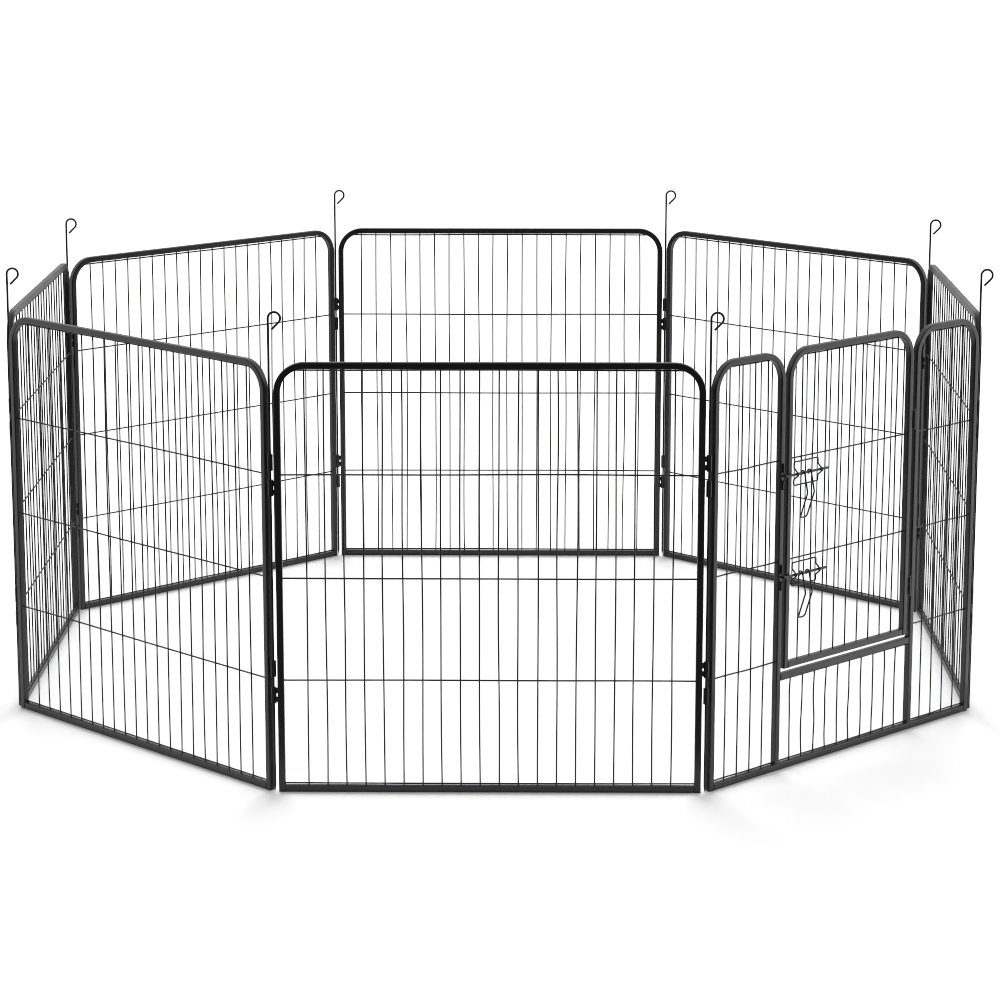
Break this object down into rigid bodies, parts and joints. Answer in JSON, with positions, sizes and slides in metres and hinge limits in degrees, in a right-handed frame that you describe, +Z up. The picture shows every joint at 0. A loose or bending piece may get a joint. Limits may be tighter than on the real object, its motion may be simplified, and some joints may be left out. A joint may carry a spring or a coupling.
{
  "type": "pet playpen",
  "caption": "Free-standing folding pet pen: steel tube panels with wire infill hinged on hooked ground stakes in an octagon, one panel with a latched swing door.",
  "frame": {"origin": "middle of the underside of the front panel's bottom rail, on the floor", "axes": "+Z up; +X along the front panel, to the right as seen from outside in front; +Y from the front panel to the back panel"},
  "size_m": [1.9373, 1.9192, 0.892],
  "materials": {
    "frame_coat": "satin black powder coat",
    "wire_coat": "satin black powder coat",
    "latch_coat": "semi-gloss black powder coat",
    "stake_coat": "satin black powder coat"
  },
  "bodies": {
    "front": {"front_frame": "frame_coat", "front_rail": "frame_coat", "front_wires": "wire_coat"},
    "door_panel": {"door_panel_rail": "frame_coat", "door_threshold": "frame_coat", "door_panel_lower_wires": "wire_coat", "door_panel_left_frame": "frame_coat", "door_panel_left_wires": "wire_coat", "door_panel_right_frame": "frame_coat", "door_panel_right_wires": "wire_coat", "lower_door_pin": "latch_coat", "upper_door_pin": "latch_coat", "lower_latch_keeper": "latch_coat", "upper_latch_keeper": "latch_coat"},
    "right": {"right_frame": "frame_coat", "right_rail": "frame_coat", "right_wires": "wire_coat"},
    "back_right": {"back_right_frame": "frame_coat", "back_right_rail": "frame_coat", "back_right_wires": "wire_coat"},
    "back": {"back_frame": "frame_coat", "back_rail": "frame_coat", "back_wires": "wire_coat"},
    "back_left": {"back_left_frame": "frame_coat", "back_left_rail": "frame_coat", "back_left_wires": "wire_coat"},
    "left": {"left_frame": "frame_coat", "left_rail": "frame_coat", "left_wires": "wire_coat"},
    "front_left": {"front_left_frame": "frame_coat", "front_left_rail": "frame_coat", "front_left_wires": "wire_coat"},
    "door": {"door_frame": "frame_coat", "door_rail": "frame_coat", "door_wires": "wire_coat", "lower_latch_guide": "latch_coat", "upper_latch_guide": "latch_coat"},
    "upper_bolt": {"upper_latch_bolt": "latch_coat"},
    "upper_handle": {"upper_latch_handle": "latch_coat"},
    "lower_bolt": {"lower_latch_bolt": "latch_coat"},
    "lower_handle": {"lower_latch_handle": "latch_coat"},
    "stake_front": {"stake_front": "stake_coat"},
    "stake_door_panel": {"stake_door_panel": "stake_coat"},
    "stake_right": {"stake_right": "stake_coat"},
    "stake_back_right": {"stake_back_right": "stake_coat"},
    "stake_back": {"stake_back": "stake_coat"},
    "stake_back_left": {"stake_back_left": "stake_coat"},
    "stake_left": {"stake_left": "stake_coat"},
    "stake_front_left": {"stake_front_left": "stake_coat"}
  },
  "joints": [
    {"name": "ring_fold", "type": "hinge", "parent": "front", "child": "door_panel", "pos_m": [0.395, 0, 0], "axis": [0, 0, 1], "range_deg": [-45, 45]},
    {"name": "fold_right", "type": "hinge", "parent": "door_panel", "child": "right", "pos_m": [0.95361, 0.55861, 0], "axis": [0, 0, 1], "range_deg": [-45, 45]},
    {"name": "fold_back_right", "type": "hinge", "parent": "right", "child": "back_right", "pos_m": [0.95361, 1.34861, 0], "axis": [0, 0, 1], "range_deg": [-45, 45]},
    {"name": "fold_back", "type": "hinge", "parent": "back_right", "child": "back", "pos_m": [0.395, 1.90723, 0], "axis": [0, 0, 1], "range_deg": [-45, 45]},
    {"name": "fold_front_left", "type": "hinge", "parent": "front", "child": "front_left", "pos_m": [-0.395, 0, 0], "axis": [0, 0, 1], "range_deg": [-45, 45]},
    {"name": "fold_left", "type": "hinge", "parent": "front_left", "child": "left", "pos_m": [-0.95361, 0.55861, 0], "axis": [0, 0, 1], "range_deg": [-45, 45]},
    {"name": "fold_back_left", "type": "hinge", "parent": "left", "child": "back_left", "pos_m": [-0.95361, 1.34861, 0], "axis": [0, 0, 1], "range_deg": [-45, 45]},
    {"name": "door_swing", "type": "hinge", "parent": "door_panel", "child": "door", "pos_m": [0.81078, 0.40871, 0.45575], "axis": [0, 0, 1], "range_deg": [0, 120]},
    {"name": "upper_bolt_slide", "type": "slide", "parent": "door", "child": "upper_bolt", "axis": [0.7071, 0.7071, 0], "range_m": [-0.0145, 0.025]},
    {"name": "upper_handle_swing", "type": "hinge", "parent": "upper_bolt", "child": "upper_handle", "pos_m": [0.57849, 0.17006, 0.5645], "axis": [-0.7071, -0.7071, 0], "range_deg": [0, 150]},
    {"name": "lower_bolt_slide", "type": "slide", "parent": "door", "child": "lower_bolt", "axis": [0.7071, 0.7071, 0], "range_m": [-0.0145, 0.025]},
    {"name": "lower_handle_swing", "type": "hinge", "parent": "lower_bolt", "child": "lower_handle", "pos_m": [0.57849, 0.17006, 0.373], "axis": [-0.7071, -0.7071, 0], "range_deg": [0, 150]},
    {"name": "stake_front_lift", "type": "slide", "parent": "front", "child": "stake_front", "axis": [0, 0, 1], "range_m": [-0.055, 0.65]},
    {"name": "stake_door_panel_lift", "type": "slide", "parent": "door_panel", "child": "stake_door_panel", "axis": [0, 0, 1], "range_m": [-0.055, 0.65]},
    {"name": "stake_right_lift", "type": "slide", "parent": "right", "child": "stake_right", "axis": [0, 0, 1], "range_m": [-0.055, 0.65]},
    {"name": "stake_back_right_lift", "type": "slide", "parent": "back_right", "child": "stake_back_right", "axis": [0, 0, 1], "range_m": [-0.055, 0.65]},
    {"name": "stake_back_lift", "type": "slide", "parent": "back", "child": "stake_back", "axis": [0, 0, 1], "range_m": [-0.055, 0.65]},
    {"name": "stake_back_left_lift", "type": "slide", "parent": "back_left", "child": "stake_back_left", "axis": [0, 0, 1], "range_m": [-0.055, 0.65]},
    {"name": "stake_left_lift", "type": "slide", "parent": "left", "child": "stake_left", "axis": [0, 0, 1], "range_m": [-0.055, 0.65]},
    {"name": "stake_front_left_lift", "type": "slide", "parent": "front_left", "child": "stake_front_left", "axis": [0, 0, 1], "range_m": [-0.055, 0.65]}
  ],
  "couplings": [
    {"joint": "fold_right", "follows": "ring_fold", "ratio": -1},
    {"joint": "fold_back_right", "follows": "ring_fold", "ratio": 1},
    {"joint": "fold_back", "follows": "ring_fold", "ratio": -1},
    {"joint": "fold_front_left", "follows": "ring_fold", "ratio": 1},
    {"joint": "fold_left", "follows": "ring_fold", "ratio": -1},
    {"joint": "fold_back_left", "follows": "ring_fold", "ratio": 1}
  ]
}
